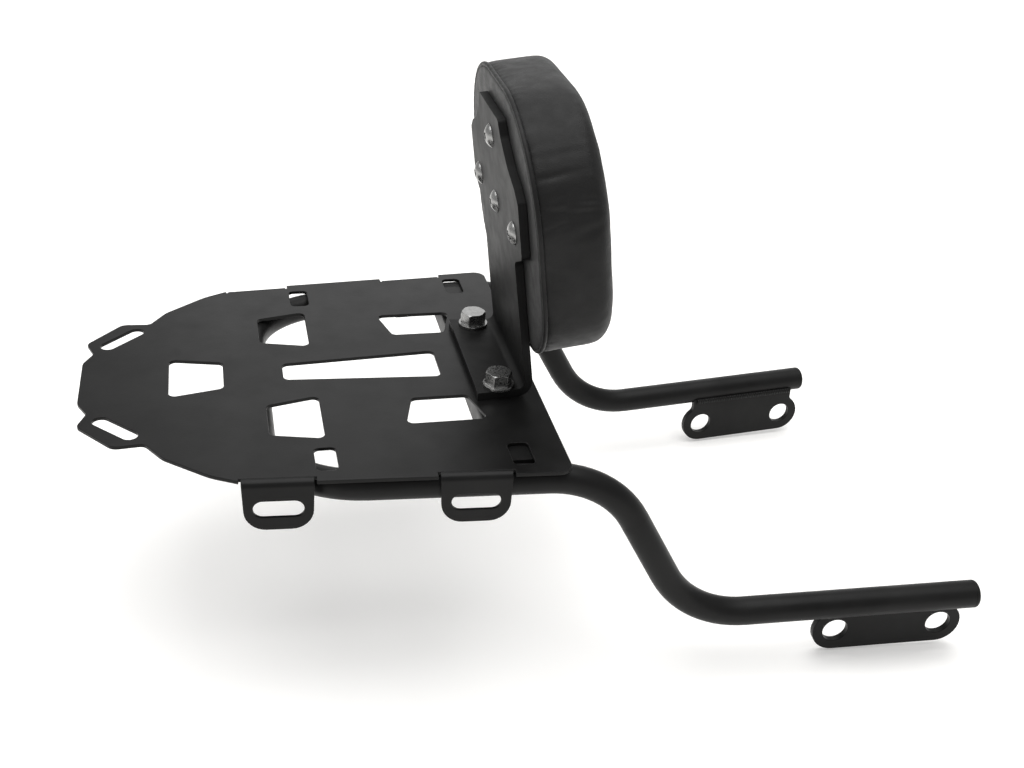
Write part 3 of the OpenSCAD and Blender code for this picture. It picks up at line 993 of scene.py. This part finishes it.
    def build(self) -> list[bpy.types.Object]:
        """Builds the pad and hands its CAD stand-ins over.

        Returns:
            The cushion, its piping and its back panel.
        """
        vinyl = Vinyl("grained_vinyl").build()
        pieces = [self.cushion(), self.piping(), self.back_panel()]
        for piece, nodes in zip(pieces, (("pad_cover", "pad_foam"), ("pad_welt",), ("pad_back_cover",))):
            piece.data.materials.append(vinyl)
            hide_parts(*nodes)
            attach(piece, BODY)
        return pieces


# Studio.


@dataclass(frozen=True)
class Lamp:
    """A soft square light: where it hangs, the point it faces, its side in metres and its watts."""

    name: str
    at: Triple
    to: Triple
    size: float
    power: float

    def hang(self) -> None:
        """Adds the light to the scene."""
        data = bpy.data.lights.new(self.name, "AREA")
        data.shape = "SQUARE"
        data.size = self.size
        data.energy = self.power
        lamp = bpy.data.objects.new(self.name, data)
        bpy.context.scene.collection.objects.link(lamp)
        turn = (Vector(self.to) - Vector(self.at)).to_track_quat("-Z", "Y").to_matrix().to_4x4()
        lamp.matrix_world = Matrix.Translation(self.at) @ turn


@dataclass
class Studio:
    """Floor, lights and the camera at the photograph's place. Angles are in degrees."""

    camera_at: Triple = (-0.3627, -0.6414, 0.4800)
    yaw: float = 14.04
    pitch: float = 29.38
    roll: float = 3.50
    focal_px: float = 1300.0
    image_width: int = 1024
    sensor: float = 36.0
    floor_half: float = 6.0
    floor_gap: float = 2 * MM
    world_light: float = 0.48
    lamps: tuple[Lamp, ...] = (
        Lamp("top", (-0.15, -0.1, 1.9), (-0.15, -0.1, 0.0), 2.0, 36.0),
        Lamp("key", (-1.6, 0.5, 1.5), (-0.25, 0.0, 0.1), 0.9, 7.5),
        Lamp("far", (0.4, 2.2, 1.25), (-0.2, 0.0, 0.1), 2.0, 10.0),
    )

    def camera(self) -> None:
        """Sets the camera from its yaw, pitch and roll.

        Forward is (sin yaw cos pitch, cos yaw cos pitch, -sin pitch); the picture's
        right and up are then turned by the roll about it.
        """
        yaw, pitch, roll = (math.radians(angle) for angle in (self.yaw, self.pitch, self.roll))
        ahead = np.array([math.sin(yaw) * math.cos(pitch), math.cos(yaw) * math.cos(pitch), -math.sin(pitch)])
        level = np.array([math.cos(yaw), -math.sin(yaw), 0.0])
        upright = np.cross(level, ahead)
        right = math.cos(roll) * level + math.sin(roll) * upright
        up = -math.sin(roll) * level + math.cos(roll) * upright
        data = bpy.data.cameras.new("camera")
        data.sensor_width = self.sensor
        data.lens = self.focal_px * self.sensor / self.image_width
        data.clip_start = 0.01
        data.clip_end = 50.0
        made = bpy.data.objects.new("camera", data)
        bpy.context.scene.collection.objects.link(made)
        turn = Matrix(np.stack([right, up, -ahead], axis=1).tolist()).to_4x4()
        made.matrix_world = Matrix.Translation(self.camera_at) @ turn
        bpy.context.scene.camera = made

    def floor(self) -> bpy.types.Object:
        """Lays the floor just under the part, a square of plain paper.

        Returns:
            The floor.
        """
        corners = np.array([[-1, -1], [1, -1], [1, 1], [-1, 1]]) * self.floor_half
        low = np.full((4, 1), CAD_BOX[0][2] - self.floor_gap)
        made = make_object("floor", np.hstack([corners, low]), [[0, 1, 2, 3]], smooth=False)
        made.data.materials.append(Paper().build())
        return made

    def build(self) -> list[bpy.types.Object]:
        """Lays the floor, lights the room and sets the camera.

        Returns:
            The floor.
        """
        floor = self.floor()
        world = bpy.data.worlds.new("studio")
        world.use_nodes = True
        sky = world.node_tree.nodes["Background"]
        sky.inputs["Color"].default_value = (1.0, 1.0, 1.0, 1.0)
        sky.inputs["Strength"].default_value = self.world_light
        bpy.context.scene.world = world
        bpy.context.scene.view_settings.view_transform = "Standard"
        for lamp in self.lamps:
            lamp.hang()
        self.camera()
        return [floor]


def main() -> None:
    """Dresses the metal, builds the pad, sets the studio and reports every piece."""
    logging.basicConfig(level=logging.INFO, format="%(name)s: %(message)s")
    made = Metalwork().dress()
    made += Pad(PadPlane(), Wrinkles()).build()
    made += Studio().build()
    for piece in made:
        LOG.info("%s: %d faces before its modifiers", piece.name, len(piece.data.polygons))


if __name__ == "__main__":
    main()
